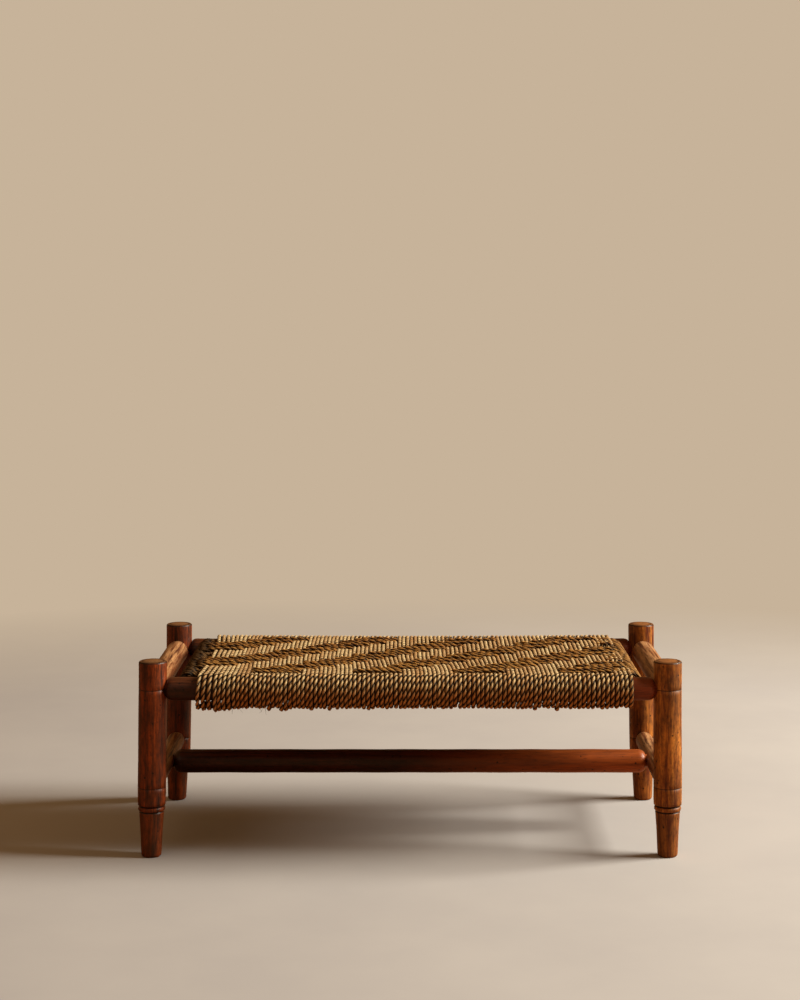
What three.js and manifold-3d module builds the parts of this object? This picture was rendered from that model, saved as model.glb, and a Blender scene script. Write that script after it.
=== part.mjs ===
// A low rope bench, in millimetres with +Z up. The origin is on the floor, under the middle of the seat.
// Four turned legs are joined by round rails and an H of stretchers, all with round tenons in bored mortises.
// One warp rope is wound round the front and back rails, and one weft rope is woven through it, over three
// and under three, and turns round two rails of its own that stand just inside the bare side rails.

import * as THREE from 'three';
import { mergeVertices } from 'three/addons/utils/BufferGeometryUtils.js';
import Module from 'manifold-3d';

const wasm = await Module();
wasm.setup();

// Driving dimensions of the frame.
const legSpanLength = 767;
const legSpanDepth = 342;
const legRadius = 21;
const legRise = 43;
const seatRailHeight = 249;
const stretcherHeight = 103;
const fitGap = 0.3;
const boreOverrun = 4;

// The turned leg, from the sole up. The bead lies a set way below the side stretcher's axis.
const soleRadius = 11.5;
const footRadius = 15;
const footRounding = 4.5;
const calfRadius = 16.75;
const calfHeight = 43;
const taperRadius = 18.6;
const beadDrop = 37;
const beadRadius = 19.8;
const beadWidth = 5.9;
const grooveWidth = 2.6;
const grooveDepth = 1.5;
const swellRadius = 20.6;
const swellRise = 8.8;
const scribeWidth = 1.2;
const scribeDepth = 0.5;
const topRounding = 3.2;
const topCrown = 1.2;

// Rails and stretchers, each with rounded shoulders down to the radius that meets its neighbour.
const seatRailRadius = 18.25;
const seatRailEndRadius = 12.5;
const seatRailShoulder = 9;
const seatTenonRadius = 9;
const seatTenonDepth = 28;
const sideRailRadius = 18;
const sideRailEndRadius = 13;
const sideRailShoulder = 16;
const sideTenonRadius = 8.5;
const ropeRailEndRadius = 9.5;
const ropeRailShoulder = 6;
const ropeRailInset = 52.5;
const ropeTenonRadius = 6.5;
const ropeTenonDepth = 14;
const sideStretcherRadius = 14;
const sideStretcherEndRadius = 10;
const sideStretcherShoulder = 14;
const stretcherTenonRadius = 7;
const stretcherTenonDepth = 20;
const longStretcherRadius = 18;
const longStretcherEndRadius = 10;
const longStretcherShoulder = 12;
const longStretcherRise = -1;
const longTenonRadius = 6.5;
const longTenonDepth = 15;

// The rope seat. A band stands for the ropes that lie side by side and pass over and under together.
// The warp lies between the axes of the two rope rails, at least a set way inside each.
const ropeDiameter = 6.5;
const ropePitch = 6.6;
const warpStartInset = 12.5;
const warpEndInset = 1.5;
const firstColumnRopes = 8;
const columnRopes = 4;
const oddColumnRopes = 6;
const lastColumns = 3;
const weftUnits = 13;
const floatUnits = 3;
const weaveGap = 4;
const layerGap = 0.8;
const returnGap = 0.72;
const seatSag = 5;

// How finely round shapes are cut.
const turnSegments = 16;
const shoulderSteps = 3;
const wrapSteps = 6;

const legX = legSpanLength / 2;
const legY = legSpanDepth / 2;
const legHeight = seatRailHeight + legRise;
const taperHeight = stretcherHeight - beadDrop;

// A rope bends round a rail in flats, so its corners stand out far enough for the flats to clear the rail.
const wrapStepAngle = Math.PI / wrapSteps;
const flatShare = Math.cos(wrapStepAngle / 2);
const seatWrapRadius = (seatRailRadius + fitGap) / flatShare;
const weaveHeight = seatRailHeight + seatWrapRadius + ropeDiameter / 2;
const levelOffset = (ropeDiameter + layerGap) / 2;

// The weft turns round a rope rail, between its top layer and its return just above the lower warp.
const weftUnderside = weaveHeight - levelOffset - ropeDiameter / 2;
const returnTop = seatRailHeight - seatWrapRadius + returnGap + ropeDiameter;
const ropeWrapRadius = (weftUnderside - returnTop) / 2;
const ropeRailRadius = ropeWrapRadius * flatShare - fitGap;
const ropeRailHeight = weftUnderside - ropeWrapRadius;
const ropeRailX = legX - ropeRailInset;
const weftStart = -legY + seatRailRadius + fitGap;
const weftUnitDepth = -2 * weftStart / weftUnits;

// Columns of four ropes fill the warp between a wider first column and the last few, of which one is odd.
const warpRoom = 2 * ropeRailX - warpStartInset - warpEndInset;
const otherRopes = firstColumnRopes + oddColumnRopes + lastColumns * columnRopes;
const middleColumns = Math.floor((warpRoom - otherRopes * ropePitch) / (columnRopes * ropePitch));
const warpColumnRopes = [
  firstColumnRopes,
  ...Array(middleColumns).fill(columnRopes),
  oddColumnRopes,
  ...Array(lastColumns).fill(columnRopes),
];

const woodFinish = { roughness: 0.42, metalness: 0 };
const stainedWood = new THREE.MeshStandardMaterial({ color: 0x7a3d1c, ...woodFinish });
const plainWood = new THREE.MeshStandardMaterial({ color: 0x8a5a34, roughness: 0.7, metalness: 0 });
const paleRope = new THREE.MeshStandardMaterial({ color: 0xc09a5e, roughness: 0.9, metalness: 0 });
const goldenRope = new THREE.MeshStandardMaterial({ color: 0x9a7038, roughness: 0.9, metalness: 0 });

// Turns a profile of [radius, height] points, listed from one end on the axis to the other, about an axis.
function turned(profile, axis) {
  const geometry = new THREE.LatheGeometry(profile.map(([r, h]) => new THREE.Vector2(r, h)), turnSegments);
  if (axis === 'x') geometry.rotateZ(-Math.PI / 2);
  if (axis === 'z') geometry.rotateX(Math.PI / 2);
  return geometry;
}

// A straight bore along an axis, from one distance to another, about a centre.
function bore(radius, from, to, axis, centre) {
  const [low, high] = from < to ? [from, to] : [to, from];
  const geometry = turned([[0, low], [radius, low], [radius, high], [0, high]], axis);
  return geometry.translate(...centre);
}

function toManifold(geometry) {
  const bare = geometry.clone();
  bare.deleteAttribute('normal');
  bare.deleteAttribute('uv');
  const merged = mergeVertices(bare);
  const corners = merged.index.array;
  const triangles = [];
  for (let i = 0; i < corners.length; i += 3) {
    const [a, b, c] = corners.slice(i, i + 3);
    if (a !== b && b !== c && c !== a) triangles.push(a, b, c);
  }
  return new wasm.Manifold(new wasm.Mesh({
    numProp: 3,
    vertProperties: new Float32Array(merged.attributes.position.array),
    triVerts: new Uint32Array(triangles),
  }));
}

// Cuts the bores out of a solid, all in the solid's own frame.
function cut(geometry, bores) {
  let solid = toManifold(geometry);
  for (const tool of bores) solid = solid.subtract(toManifold(tool));
  const mesh = solid.getMesh();
  const result = new THREE.BufferGeometry();
  result.setAttribute('position', new THREE.BufferAttribute(new Float32Array(mesh.vertProperties), 3));
  result.setIndex(new THREE.BufferAttribute(new Uint32Array(mesh.triVerts), 1));
  result.computeVertexNormals();
  return result;
}

function addMesh(group, name, geometry, material, [x, y, z]) {
  const mesh = new THREE.Mesh(geometry, material);
  mesh.name = name;
  mesh.position.set(x, y, z);
  group.add(mesh);
}

// A V-shaped groove's three points, at a height on a stretch that goes from one radius to another.
function groove(height, below, above, width, depth) {
  const floor = Math.min(below, above) - depth;
  return [[below, height - width / 2], [floor, height], [above, height + width / 2]];
}

function legProfile() {
  const lowGroove = taperHeight + grooveWidth / 2;
  const highGroove = lowGroove + beadWidth + grooveWidth;
  const scribe = (height) => groove(height, legRadius, legRadius, scribeWidth, scribeDepth);
  const footEdge = [];
  const rim = [];
  for (let i = 0; i <= shoulderSteps; i++) {
    const angle = i * Math.PI / 2 / shoulderSteps;
    footEdge.push([
      soleRadius + (footRadius - soleRadius) * Math.sin(angle),
      footRounding * (1 - Math.cos(angle)),
    ]);
    rim.push([
      legRadius - topRounding * (1 - Math.cos(angle)),
      legHeight - topCrown - (topRounding - topCrown) * (1 - Math.sin(angle)),
    ]);
  }
  return [
    [0, 0],
    ...footEdge,
    [calfRadius, calfHeight],
    ...groove(lowGroove, taperRadius, beadRadius, grooveWidth, grooveDepth),
    ...groove(highGroove, beadRadius, swellRadius, grooveWidth, grooveDepth),
    [legRadius, highGroove + grooveWidth / 2 + swellRise],
    ...scribe(stretcherHeight),
    ...scribe(seatRailHeight),
    ...rim,
    [0, legHeight],
  ];
}

// A leg, with the sides that its rails enter from given as +1 or -1 along X and along Y.
function legGeometry(inwardX, inwardY) {
  const surface = legRadius + boreOverrun;
  const seatEnd = legRadius - seatTenonDepth;
  const stretcherEnd = legRadius - stretcherTenonDepth;
  return cut(turned(legProfile(), 'z'), [
    bore(seatTenonRadius + fitGap, inwardX * seatEnd, inwardX * surface, 'x', [0, 0, seatRailHeight]),
    bore(sideTenonRadius + fitGap, inwardY * seatTenonRadius, inwardY * surface, 'y', [0, 0, seatRailHeight]),
    bore(stretcherTenonRadius + fitGap, inwardY * stretcherEnd, inwardY * surface, 'y',
      [0, 0, stretcherHeight]),
  ]);
}

// A round rail about its own middle: a body with rounded shoulders and a tenon at each end.
function railProfile({ length, radius, endRadius, shoulder, tenonRadius, tenonDepth }) {
  const half = length / 2;
  const end = [[0, half + tenonDepth], [tenonRadius, half + tenonDepth], [tenonRadius, half]];
  for (let i = 0; i <= shoulderSteps; i++) {
    const angle = i * Math.PI / 2 / shoulderSteps;
    end.push([
      endRadius + (radius - endRadius) * Math.sin(angle),
      half - shoulder * (1 - Math.cos(angle)),
    ]);
  }
  const lower = end.map(([r, h]) => [r, -h]);
  return [...lower, ...end.reverse()];
}

// The seat rail behind or in front of the rope, with a mortise for each rope rail on its inward side.
function seatRailGeometry(inwardY) {
  const body = turned(railProfile({
    length: legSpanLength - 2 * (legRadius + fitGap),
    radius: seatRailRadius,
    endRadius: seatRailEndRadius,
    shoulder: seatRailShoulder,
    tenonRadius: seatTenonRadius,
    tenonDepth: seatTenonDepth,
  }), 'x');
  const innerEnd = inwardY * (seatRailRadius - ropeTenonDepth);
  const surface = inwardY * (seatRailRadius + boreOverrun);
  const rise = ropeRailHeight - seatRailHeight;
  return cut(body, [-1, 1].map((side) => (
    bore(ropeTenonRadius + fitGap, innerEnd, surface, 'y', [side * ropeRailX, 0, rise])
  )));
}

function sideRailGeometry() {
  return turned(railProfile({
    length: legSpanDepth - 2 * (legRadius + fitGap),
    radius: sideRailRadius,
    endRadius: sideRailEndRadius,
    shoulder: sideRailShoulder,
    tenonRadius: sideTenonRadius,
    tenonDepth: legRadius - seatTenonRadius - fitGap,
  }), 'y');
}

// The rail that the weft turns round, between the front and back seat rails.
function ropeRailGeometry() {
  return turned(railProfile({
    length: legSpanDepth - 2 * (seatRailRadius + fitGap),
    radius: ropeRailRadius,
    endRadius: ropeRailEndRadius,
    shoulder: ropeRailShoulder,
    tenonRadius: ropeTenonRadius,
    tenonDepth: ropeTenonDepth,
  }), 'y');
}

// A side stretcher, with the mortise for the long stretcher at its middle.
function sideStretcherGeometry(inwardX) {
  const body = turned(railProfile({
    length: legSpanDepth - 2 * (legRadius + fitGap),
    radius: sideStretcherRadius,
    endRadius: sideStretcherEndRadius,
    shoulder: sideStretcherShoulder,
    tenonRadius: stretcherTenonRadius,
    tenonDepth: stretcherTenonDepth,
  }), 'y');
  const innerEnd = inwardX * (sideStretcherRadius - longTenonDepth);
  const surface = inwardX * (sideStretcherRadius + boreOverrun);
  return cut(body, [bore(longTenonRadius + fitGap, innerEnd, surface, 'x', [0, 0, longStretcherRise])]);
}

function longStretcherGeometry() {
  return turned(railProfile({
    length: legSpanLength - 2 * (sideStretcherRadius + fitGap),
    radius: longStretcherRadius,
    endRadius: longStretcherEndRadius,
    shoulder: longStretcherShoulder,
    tenonRadius: longTenonRadius,
    tenonDepth: longTenonDepth,
  }), 'x');
}

// The middle surface of the weave: level over all four rails that carry it, and sagging between them.
function seatHeight(x, y) {
  const across = Math.min(Math.abs(x) / ropeRailX, 1);
  const along = Math.min(Math.abs(y) / legY, 1);
  return weaveHeight - seatSag * (1 - across ** 2) * (1 - along ** 2);
}

// In the twill, a column's floats start one unit further back than those of the column to its left.
function warpOnTop(column, unit) {
  const period = 2 * floatUnits;
  return (((unit - column + 1) % period) + period) % period < floatUnits;
}

// The stops of a band on the top layer: where it is, along its run, and how far above the middle surface.
// It changes level only in the gaps between the bands that it crosses, at the given edges.
function topStops(edges, onTop) {
  const level = (index) => (onTop(index) ? levelOffset : -levelOffset);
  const last = edges.length - 2;
  const stops = [[edges[0], level(0)]];
  for (let i = 1; i <= last; i++) {
    if (level(i) === level(i - 1)) continue;
    stops.push([edges[i] - weaveGap / 2, level(i - 1)], [edges[i] + weaveGap / 2, level(i)]);
  }
  stops.push([edges[last + 1], level(last)]);
  return stops;
}

// The angles of a bend round a rail, from its underside over its outside to its top.
function wrapAngles() {
  return Array.from({ length: wrapSteps + 1 }, (_, i) => -Math.PI / 2 + i * wrapStepAngle);
}

// A section has four corners: left and right on the outside of the loop, then right and left on the inside.
// The place function turns a reach from the rail's axis, or a height, and a side edge into a point.
function bandSection([left, right], outer, inner, place) {
  return [place(left, outer), place(right, outer), place(right, inner), place(left, inner)];
}

// One turn of the warp: up round the front rail, back over the weave and down round the back rail.
function warpTurn(column, columnEdges, unitEdges) {
  const edges = [columnEdges[column] + weaveGap / 2, columnEdges[column + 1] - weaveGap / 2];
  const bend = (side, angle) => bandSection(edges, seatWrapRadius + ropeDiameter, seatWrapRadius,
    (x, reach) => new THREE.Vector3(
      x,
      side * (legY + reach * Math.cos(angle)),
      seatRailHeight + reach * Math.sin(angle),
    ));
  const stops = topStops(unitEdges, (unit) => warpOnTop(column, unit));
  const top = stops.map(([y, level]) => bandSection(edges, ropeDiameter / 2, -ropeDiameter / 2,
    (x, rise) => new THREE.Vector3(x, y, seatHeight(x, y) + level + rise)));
  const up = wrapAngles().map((angle) => bend(-1, angle));
  const down = wrapAngles().reverse().map((angle) => bend(1, angle));
  return [...up, ...top, ...down];
}

// One turn of the weft: up round the left rope rail, across through the warp and down round the right one.
function weftTurn(unit, columnEdges, unitEdges) {
  const edges = [unitEdges[unit + 1] - weaveGap / 2, unitEdges[unit] + weaveGap / 2];
  const bend = (side, angle) => bandSection(edges, ropeWrapRadius + ropeDiameter, ropeWrapRadius,
    (y, reach) => new THREE.Vector3(
      side * (ropeRailX + reach * Math.cos(angle)),
      y,
      ropeRailHeight + reach * Math.sin(angle),
    ));
  const stops = topStops(columnEdges, (column) => !warpOnTop(column, unit));
  const top = stops.map(([x, level]) => bandSection(edges, ropeDiameter / 2, -ropeDiameter / 2,
    (y, rise) => new THREE.Vector3(x, y, seatHeight(x, y) + level + rise)));
  // Above the rail's axis the bend stays a gap past the outermost warp, which may lie close to the rail's top.
  const clear = (side, warpEdge) => (angle) => (
    angle < 0 || ropeRailX + ropeWrapRadius * Math.cos(angle) >= side * warpEdge + weaveGap
  );
  const up = wrapAngles().filter(clear(-1, columnEdges[0])).map((angle) => bend(-1, angle));
  const down = wrapAngles().filter(clear(1, columnEdges.at(-1))).reverse().map((angle) => bend(1, angle));
  return [...up, ...top, ...down];
}

// Skins all turns, one after another, as one unbroken band with a cap at each end.
function bandGeometry(turns) {
  const sections = turns.flat();
  const corners = 4;
  const triangles = [];
  for (let s = 0; s < sections.length - 1; s++) {
    for (let k = 0; k < corners; k++) {
      const a = s * corners + k;
      const b = s * corners + (k + 1) % corners;
      triangles.push(a, b, b + corners, a, b + corners, a + corners);
    }
  }
  const end = (sections.length - 1) * corners;
  for (let k = 1; k < corners - 1; k++) triangles.push(0, k + 1, k, end, end + k, end + k + 1);
  const geometry = new THREE.BufferGeometry().setFromPoints(sections.flat());
  geometry.setIndex(triangles);
  geometry.computeVertexNormals();
  return geometry;
}

// The least distance between the corner points of one turn and those of the next.
function leastGap(turns) {
  let least = Infinity;
  for (let i = 1; i < turns.length; i++) {
    for (const a of turns[i - 1].flat()) {
      for (const b of turns[i].flat()) least = Math.min(least, a.distanceTo(b));
    }
  }
  return least;
}

const columnEdges = [-ropeRailX + warpStartInset];
for (const ropes of warpColumnRopes) columnEdges.push(columnEdges.at(-1) + ropes * ropePitch);
const unitEdges = Array.from({ length: weftUnits + 1 }, (_, i) => weftStart + i * weftUnitDepth);
const warpTurns = warpColumnRopes.map((_, column) => warpTurn(column, columnEdges, unitEdges));
const weftTurns = Array.from({ length: weftUnits }, (_, unit) => weftTurn(unit, columnEdges, unitEdges));
console.log(`warp_rope: ${warpTurns.length} turns, least gap ${leastGap(warpTurns).toFixed(2)} mm`);
console.log(`weft_rope: ${weftTurns.length} turns, least gap ${leastGap(weftTurns).toFixed(2)} mm`);

const bench = new THREE.Group();
const frame = new THREE.Group();
const seat = new THREE.Group();
bench.add(frame, seat);

for (const [depth, sideY] of [['front', -1], ['back', 1]]) {
  for (const [hand, sideX] of [['left', -1], ['right', 1]]) {
    const place = [sideX * legX, sideY * legY, 0];
    addMesh(frame, `leg_${depth}_${hand}`, legGeometry(-sideX, -sideY), stainedWood, place);
  }
  addMesh(frame, `seat_rail_${depth}`, seatRailGeometry(-sideY), stainedWood,
    [0, sideY * legY, seatRailHeight]);
}
for (const [hand, sideX] of [['left', -1], ['right', 1]]) {
  addMesh(frame, `side_rail_${hand}`, sideRailGeometry(), stainedWood, [sideX * legX, 0, seatRailHeight]);
  addMesh(frame, `rope_rail_${hand}`, ropeRailGeometry(), plainWood,
    [sideX * ropeRailX, 0, ropeRailHeight]);
  addMesh(frame, `side_stretcher_${hand}`, sideStretcherGeometry(-sideX), stainedWood,
    [sideX * legX, 0, stretcherHeight]);
}
addMesh(frame, 'long_stretcher', longStretcherGeometry(), stainedWood,
  [0, 0, stretcherHeight + longStretcherRise]);
addMesh(seat, 'warp_rope', bandGeometry(warpTurns), paleRope, [0, 0, 0]);
addMesh(seat, 'weft_rope', bandGeometry(weftTurns), goldenRope, [0, 0, 0]);

export default bench;
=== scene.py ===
"""A low rope bench: turned and stained legs, round rails, an H of stretchers and a twill seat of rope."""
import math

import bpy
import numpy as np
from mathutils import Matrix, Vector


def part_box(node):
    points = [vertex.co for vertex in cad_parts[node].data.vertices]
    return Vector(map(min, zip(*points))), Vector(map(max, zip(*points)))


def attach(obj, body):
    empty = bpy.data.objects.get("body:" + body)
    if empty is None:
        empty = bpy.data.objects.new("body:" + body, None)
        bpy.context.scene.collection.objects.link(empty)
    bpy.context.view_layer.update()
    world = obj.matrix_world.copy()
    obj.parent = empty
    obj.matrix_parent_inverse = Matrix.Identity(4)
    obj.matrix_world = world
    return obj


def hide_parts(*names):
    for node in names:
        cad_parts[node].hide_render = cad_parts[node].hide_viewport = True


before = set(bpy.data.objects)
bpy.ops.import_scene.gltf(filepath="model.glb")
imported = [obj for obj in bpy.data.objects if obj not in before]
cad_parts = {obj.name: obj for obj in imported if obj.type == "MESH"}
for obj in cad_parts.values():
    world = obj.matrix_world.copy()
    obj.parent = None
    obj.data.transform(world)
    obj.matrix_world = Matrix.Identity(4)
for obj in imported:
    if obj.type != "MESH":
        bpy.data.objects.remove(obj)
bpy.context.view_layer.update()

MM = 0.001


def middle_and_half(box):
    """The middle of a box that is given by two corners, and half its size."""
    low, high = (np.array(corner) for corner in box)
    return (low + high) / 2, (high - low) / 2


# Places and radii that the frame gives.
LEG_MIDDLE, LEG_HALF = middle_and_half(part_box("leg_front_left"))
LEG_X, LEG_Y = -LEG_MIDDLE[:2]
LEG_RADIUS = LEG_HALF[0]
LEG_HEIGHT = LEG_MIDDLE[2] + LEG_HALF[2]
SEAT_RAIL_RADIUS = middle_and_half(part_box("seat_rail_front"))[1][2]
SIDE_RAIL_MIDDLE, SIDE_RAIL_HALF = middle_and_half(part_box("side_rail_left"))
SEAT_RAIL_HEIGHT = SIDE_RAIL_MIDDLE[2]
SIDE_RAIL_RADIUS = SIDE_RAIL_HALF[2]
ROPE_RAIL_MIDDLE, ROPE_RAIL_HALF = middle_and_half(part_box("rope_rail_left"))
ROPE_RAIL_X = -ROPE_RAIL_MIDDLE[0]
ROPE_RAIL_HEIGHT = ROPE_RAIL_MIDDLE[2]
ROPE_RAIL_RADIUS = ROPE_RAIL_HALF[2]
STRETCHER_MIDDLE, STRETCHER_HALF = middle_and_half(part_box("side_stretcher_left"))
STRETCHER_HEIGHT = STRETCHER_MIDDLE[2]
STRETCHER_RADIUS = STRETCHER_HALF[2]
LONG_MIDDLE, LONG_HALF = middle_and_half(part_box("long_stretcher"))
LONG_HEIGHT = LONG_MIDDLE[2]
LONG_RADIUS = LONG_HALF[2]

# Turned wood. The shifts are those of the four soles: front left, front right, back left and back right.
GROOVE_WIDTH = 2.6 * MM
LOW_GROOVE = STRETCHER_HEIGHT - 35.7 * MM
HIGH_GROOVE = LOW_GROOVE + 8.5 * MM
JOINT_GAP = 0.3 * MM
CAP_RADIUS = 0.2 * MM
OUTLINE_STEP = 7 * MM
UNEVENNESS = 0.12 * MM
SOLE_SHIFT = np.array([-2.2, 0, -3.6, 3.0]) * MM

# The rope, and the rails and surfaces that it follows.
ROPE_DIAMETER = 6.8 * MM
ROPE_LAY = 23 * MM
ROPE_STEP = 1.95 * MM
ROPE_SIDES = 10
BARE_RAIL_RADIUS = SEAT_RAIL_RADIUS - 1.1 * MM
WARP_REACH = BARE_RAIL_RADIUS + ROPE_DIAMETER / 2
WEFT_REACH = ROPE_RAIL_RADIUS + ROPE_DIAMETER / 2
RAIL_SAGS = (0.4 * MM, 2.4 * MM)
SEAT_SAG = 3.2 * MM
WEAVE_DROP = 3.5 * MM
WEAVE_HEIGHT = SEAT_RAIL_HEIGHT + WARP_REACH - WEAVE_DROP
MIDDLE_UNDERSIDE = SEAT_RAIL_HEIGHT - WARP_REACH - 6 * MM

# The warp: how many ropes each column has, and where a few marked ropes lie on the front and back rails.
COLUMN_ROPES = [7] + [4] * 9 + [3] + [4] * 13
MARKED_ROPES = [0, 3, 7, 11, 23, 35, 46, 58, 70, 86, 97]
FRONT_PLACES = np.array([-313, -289, -262, -236, -159, -82.5, -8, 67.5, 147, 251, 328]) * MM
BACK_PLACES = np.array([-317, -294, -266, -241, -164, -89.5, -17.5, 60, 144, 251, 326]) * MM
WAIST = 9 * MM
WARP_SLACK = 5.8 * MM
SLACK_SCATTER = 0.6 * MM
LEFT_SLACK = 4.5 * MM
LUMP = 3 * MM
LUMP_CHANCE = 0.06
PULL_SCATTER = 0.4 * MM
LEFT_PULL = 0.4 * MM
WARP_GROOVE_SHARE = 0.28
WARP_SEED = 905

# The weft: units of ropes that pass over and under together.
WEFT_UNITS = 13
WEFT_UNIT_ROPES = 3
WEFT_ROPE_PITCH = 6.2 * MM
WEFT_START = -LEG_Y + SEAT_RAIL_RADIUS + JOINT_GAP
UNIT_DEPTH = -2 * WEFT_START / WEFT_UNITS
UNIT_EDGES = WEFT_START + UNIT_DEPTH * np.arange(WEFT_UNITS + 1)
WEFT_RIDE = 1.9 * MM
WEFT_RIDE_LENGTH = 210 * MM
WEFT_GROOVE_SHARE = 0.18
WEFT_SEED = 377

# How a rope passes over and under the others.
FLOAT_UNITS = 3
LEVEL_OFFSET = 3.65 * MM
DIVE_LENGTH = 8.2 * MM
FLOAT_BOW = 1.0 * MM

# Points along each stretch of one turn, before the rope is laid out in equal steps.
WARP_UNDER_POINTS, WARP_WRAP_POINTS, WARP_TOP_POINTS = 120, 90, 900
WEFT_UNDER_POINTS, WEFT_WRAP_POINTS, WEFT_TOP_POINTS = 200, 60, 1800

# Loose fibres.
FIBRE_RADIUS = 0.3 * MM
FIBRE_RINGS, FIBRE_SIDES = 12, 5
FIBRE_PLACES = np.array([-268, -262, -258, -226, -221, -216]) * MM
FIBRE_SEED = 61


def make_camera():
    """The photograph's view: level, from the front, with the frame shifted down onto the bench."""
    distance, height = 2.98, 0.828
    data = bpy.data.cameras.new("camera")
    data.lens = 72
    data.sensor_width = 36
    data.shift_x = -0.0102
    data.shift_y = -0.2
    data.clip_end = 100
    camera = bpy.data.objects.new("camera", data)
    camera.location = (0, -LEG_Y - distance, height)
    camera.rotation_euler = (math.radians(90), 0, 0)
    bpy.context.scene.collection.objects.link(camera)
    bpy.context.scene.camera = camera


# Meshes.

def new_piece(name, points, polygon_sizes, corners, material, stands_for):
    """A mesh from its points, the corner count of each polygon and all corners in a row."""
    mesh = bpy.data.meshes.new(name)
    mesh.vertices.add(len(points))
    mesh.vertices.foreach_set("co", np.asarray(points, np.float32).ravel())
    mesh.loops.add(len(corners))
    mesh.loops.foreach_set("vertex_index", np.asarray(corners, np.int32))
    mesh.polygons.add(len(polygon_sizes))
    starts = np.concatenate([[0], np.cumsum(polygon_sizes)[:-1]])
    mesh.polygons.foreach_set("loop_start", starts.astype(np.int32))
    mesh.polygons.foreach_set("use_smooth", np.ones(len(polygon_sizes), bool))
    mesh.update(calc_edges=True)
    mesh.validate()
    mesh.materials.append(material)
    piece = bpy.data.objects.new(name, mesh)
    bpy.context.scene.collection.objects.link(piece)
    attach(piece, "root")
    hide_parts(stands_for)
    return piece


def add_attribute(piece, name, kind, field, values):
    """A value or vector kept on each point of a piece, for its material to read."""
    attribute = piece.data.attributes.new(name, kind, "POINT")
    attribute.data.foreach_set(field, np.asarray(values, np.float32).ravel())


def tube_faces(rings, sides, first=0):
    """Quads between the rings of a closed tube, and one polygon over each of its two ends."""
    ring, side = np.meshgrid(np.arange(rings - 1), np.arange(sides), indexing="ij")
    here = first + ring * sides + side
    beside = first + ring * sides + (side + 1) % sides
    quads = np.stack([here, beside, beside + sides, here + sides], axis=-1).reshape(-1, 4)
    low_end = first + np.arange(sides)[::-1]
    high_end = first + (rings - 1) * sides + np.arange(sides)
    sizes = np.concatenate([np.full(len(quads), 4), [sides, sides]])
    return sizes, np.concatenate([quads.ravel(), low_end, high_end])


# Turned wood.

def arc(centre, radii, start, end, steps):
    """Points of an elliptic arc as (radius, distance): centre + radii * (cos, sin) of angles in degrees."""
    angle = np.radians(np.linspace(start, end, steps + 1))
    return np.stack([centre[0] + radii[0] * np.cos(angle), centre[1] + radii[1] * np.sin(angle)], axis=1)


def densify(outline, longest):
    """The outline with points added along its straight stretches, so that none is longer than asked."""
    rows = [outline[:1]]
    for a, b in zip(outline[:-1], outline[1:]):
        count = max(1, math.ceil(np.linalg.norm(b - a) / longest))
        rows.append(a + (b - a) * np.linspace(0, 1, count + 1)[1:, None])
    return np.concatenate(rows)


def hand_turned(radius, distance, angle, seed):
    """Radius plus UNEVENNESS times a sum of slow waves, less of it within 6 mm of the axis. Each wave is
    sin(n * angle) * sin(2 pi * distance / length) / n with phases of its own."""
    waves = np.random.default_rng(seed)
    total = np.zeros(np.broadcast(radius, angle).shape)
    for count in (1, 2, 2, 3, 5):
        length = waves.uniform(60, 200) * MM
        phase = waves.uniform(0, 2 * math.pi, 2)
        total += np.sin(count * angle + phase[0]) * np.sin(2 * math.pi * distance / length + phase[1]) / count
    return radius + UNEVENNESS * total * np.clip(radius / (6 * MM), 0, 1)


def lean_out(points):
    """The frame with its legs a little out of plumb. Below the seat rails each point moves in X, by
    SOLE_SHIFT at a sole, less the higher it is, and by a blend of the four soles' shifts in between."""
    right = (points[..., 0] / LEG_X + 1) / 2
    back = (points[..., 1] / LEG_Y + 1) / 2
    front_left, front_right, back_left, back_right = SOLE_SHIFT
    shift = ((front_left * (1 - right) + front_right * right) * (1 - back)
             + (back_left * (1 - right) + back_right * right) * back)
    points[..., 0] += shift * np.clip(1 - points[..., 2] / SEAT_RAIL_HEIGHT, 0, 1)
    return points


def turned_piece(name, outline, axis, centre, material, seed, sides=72, sag=0):
    """An outline of (radius, distance) turned about an axis through centre, slightly uneven. A piece along X
    can sag by sag * (1 - (x / LEG_X)^2). Its name is its node's, with turned before it."""
    outline = densify(np.asarray(outline, float), OUTLINE_STEP)
    angle = np.linspace(0, 2 * math.pi, sides, endpoint=False)[None, :]
    distance = outline[:, 1:]
    radius = hand_turned(outline[:, :1], distance, angle, seed)
    across = {"x": (1, 2, 0), "y": (2, 0, 1), "z": (0, 1, 2)}[axis]
    points = np.zeros((len(outline), sides, 3))
    points[..., across[0]] = radius * np.cos(angle)
    points[..., across[1]] = radius * np.sin(angle)
    points[..., across[2]] = np.broadcast_to(distance, radius.shape)
    points = lean_out(points + np.asarray(centre))
    points[..., 2] -= sag * np.clip(1 - (points[..., 0] / LEG_X) ** 2, 0, 1)
    sizes, corners = tube_faces(len(outline), sides)
    new_piece(name, points.reshape(-1, 3), sizes, corners, material, name.removeprefix("turned_"))


def scribe_line(height):
    """A shallow rounded line cut round a leg."""
    depth, half = 0.5 * MM, 0.65 * MM
    half_floor = half * 0.35
    return [(LEG_RADIUS, height - half), (LEG_RADIUS - depth, height - half_floor),
            (LEG_RADIUS - depth, height + half_floor), (LEG_RADIUS, height + half)]


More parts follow.
